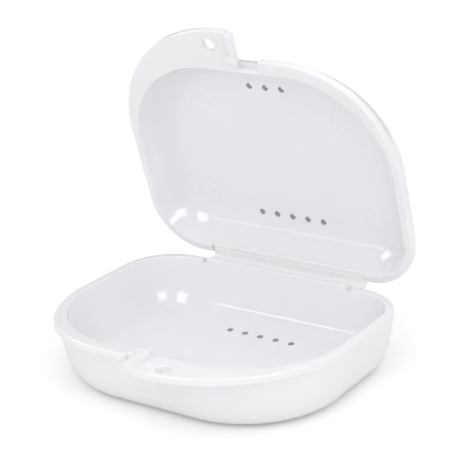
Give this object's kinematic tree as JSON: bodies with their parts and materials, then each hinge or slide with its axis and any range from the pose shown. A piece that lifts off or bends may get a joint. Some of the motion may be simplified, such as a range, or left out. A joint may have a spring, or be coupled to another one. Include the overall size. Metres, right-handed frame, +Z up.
{
  "type": "dental appliance case",
  "caption": "Shallow oval case for a retainer or aligner: a vented tray and a vented lid on a living hinge, with staggered pull tabs and a snap latch.",
  "frame": {"origin": "centre of the flat face under the tray, on which the case rests", "axes": "+X along the hinge, towards the tray's own pull tab, +Y from the latch to the hinge, +Z up"},
  "size_m": [0.0808, 0.0801, 0.0862],
  "materials": {
    "base_tray": "gloss",
    "base_latch_tongue": "gloss",
    "base_hinge_rail": "gloss",
    "lid_tray": "gloss",
    "lid_latch_tongue": "gloss",
    "hinge_strip": "gloss"
  },
  "bodies": {
    "base": {"base_tray": "base_tray", "base_latch_tongue": "base_latch_tongue", "base_hinge_rail": "base_hinge_rail"},
    "lid": {"lid_tray": "lid_tray", "lid_latch_tongue": "lid_latch_tongue", "hinge_strip": "hinge_strip"}
  },
  "joints": [
    {"name": "lid_hinge", "type": "hinge", "parent": "base", "child": "lid", "pos_m": [0, 0.0329, 0.015], "axis": [-1, 0, 0], "range_deg": [-72, 108]}
  ]
}
